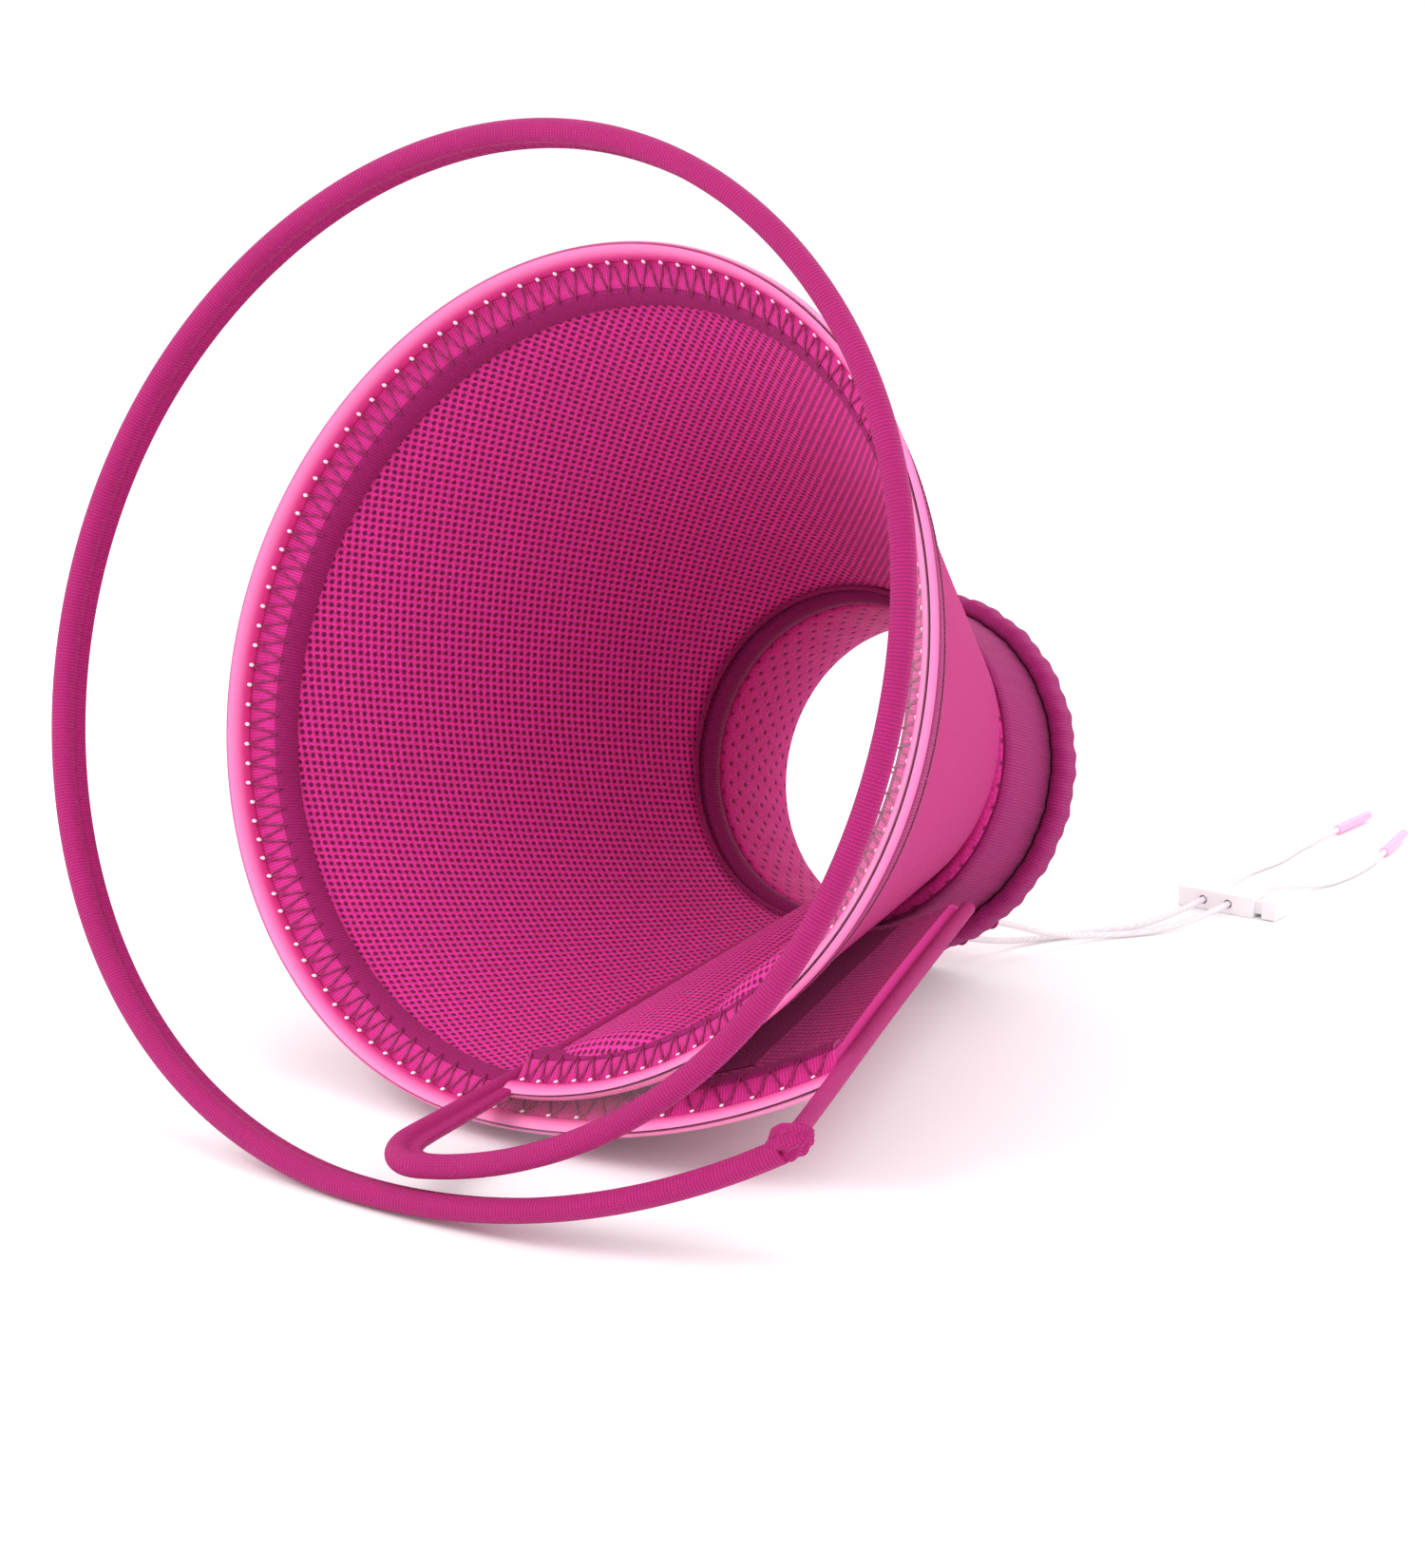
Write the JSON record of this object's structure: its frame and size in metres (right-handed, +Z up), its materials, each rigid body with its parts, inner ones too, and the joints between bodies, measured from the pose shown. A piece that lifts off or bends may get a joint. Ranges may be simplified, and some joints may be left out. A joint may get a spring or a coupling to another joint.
{
  "type": "elizabethan recovery collar",
  "caption": "Soft padded recovery cone for a dog, lying on its side: clear visor brim, mesh lining, overlapping hinged flap, padded neck band and drawstring with a cord lock.",
  "frame": {"origin": "on the floor under the middle of the collar's footprint, cord and lock left out", "axes": "+Z up; +Y from the mouth towards the neck, level; +X to the right seen from the mouth"},
  "size_m": [0.394, 0.7034, 0.3788],
  "materials": {
    "rim_binding": "woven",
    "core": "matte",
    "film": "clear",
    "welt": "satin",
    "dark_binding": "ribbed",
    "foam": "foam",
    "mesh": "spacer mesh",
    "cover": "knit",
    "cord": "braided",
    "tip": "gloss",
    "lock": "satin",
    "steel": "bright",
    "strip": "hook and loop",
    "eyelet": "gloss"
  },
  "bodies": {
    "collar": {"rim_binding": "rim_binding", "rim_core": "core", "film": "film", "inner_welt": "welt", "outer_welt": "welt", "pad_edge_binding": "dark_binding", "outer_edge_binding": "dark_binding", "pad_foam": "foam", "mesh_lining": "mesh", "outer_cover": "cover", "neck_binding": "dark_binding", "neck_piping": "dark_binding", "neck_pad": "mesh", "neck_sleeve": "dark_binding", "drawstring_hidden": "cord", "drawstring_channel": "dark_binding", "loop_strip": "strip", "eyelet_right": "eyelet", "eyelet_left": "eyelet", "tail_edge_binding": "rim_binding", "rim_end_tuck": "rim_binding", "cord_right": "cord", "cord_left": "cord", "cord_tip_right": "tip", "cord_tip_left": "tip"},
    "flap": {"flap_rim_binding": "rim_binding", "flap_rim_core": "core", "flap_film": "film", "flap_inner_welt": "welt", "flap_outer_welt": "welt", "flap_pad_edge_binding": "dark_binding", "flap_outer_edge_binding": "dark_binding", "flap_cover": "cover", "rib_1_foam": "foam", "rib_1_cover": "mesh", "rib_2_foam": "foam", "rib_2_cover": "mesh", "flap_neck_binding": "dark_binding", "hook_strip": "strip", "flap_edge_binding": "rim_binding"},
    "lock": {"lock_housing": "lock"},
    "plunger": {"lock_plunger": "lock", "lock_spring": "steel"}
  },
  "joints": [
    {"name": "flap_fold", "type": "hinge", "parent": "collar", "child": "flap", "pos_m": [0.15912, -0.1713, 0.11107], "axis": [-0.3342, 0.9352, -0.1174], "range_deg": [0, 50]},
    {"name": "lock_slide", "type": "slide", "parent": "collar", "child": "lock", "axis": [0, 1, 0], "range_m": [-0.006, 0.006]},
    {"name": "plunger_press", "type": "slide", "parent": "lock", "child": "plunger", "axis": [-1, 0, 0], "range_m": [0, 0.004], "stiffness_N_per_m": 200, "deforming": ["lock_spring"]}
  ]
}
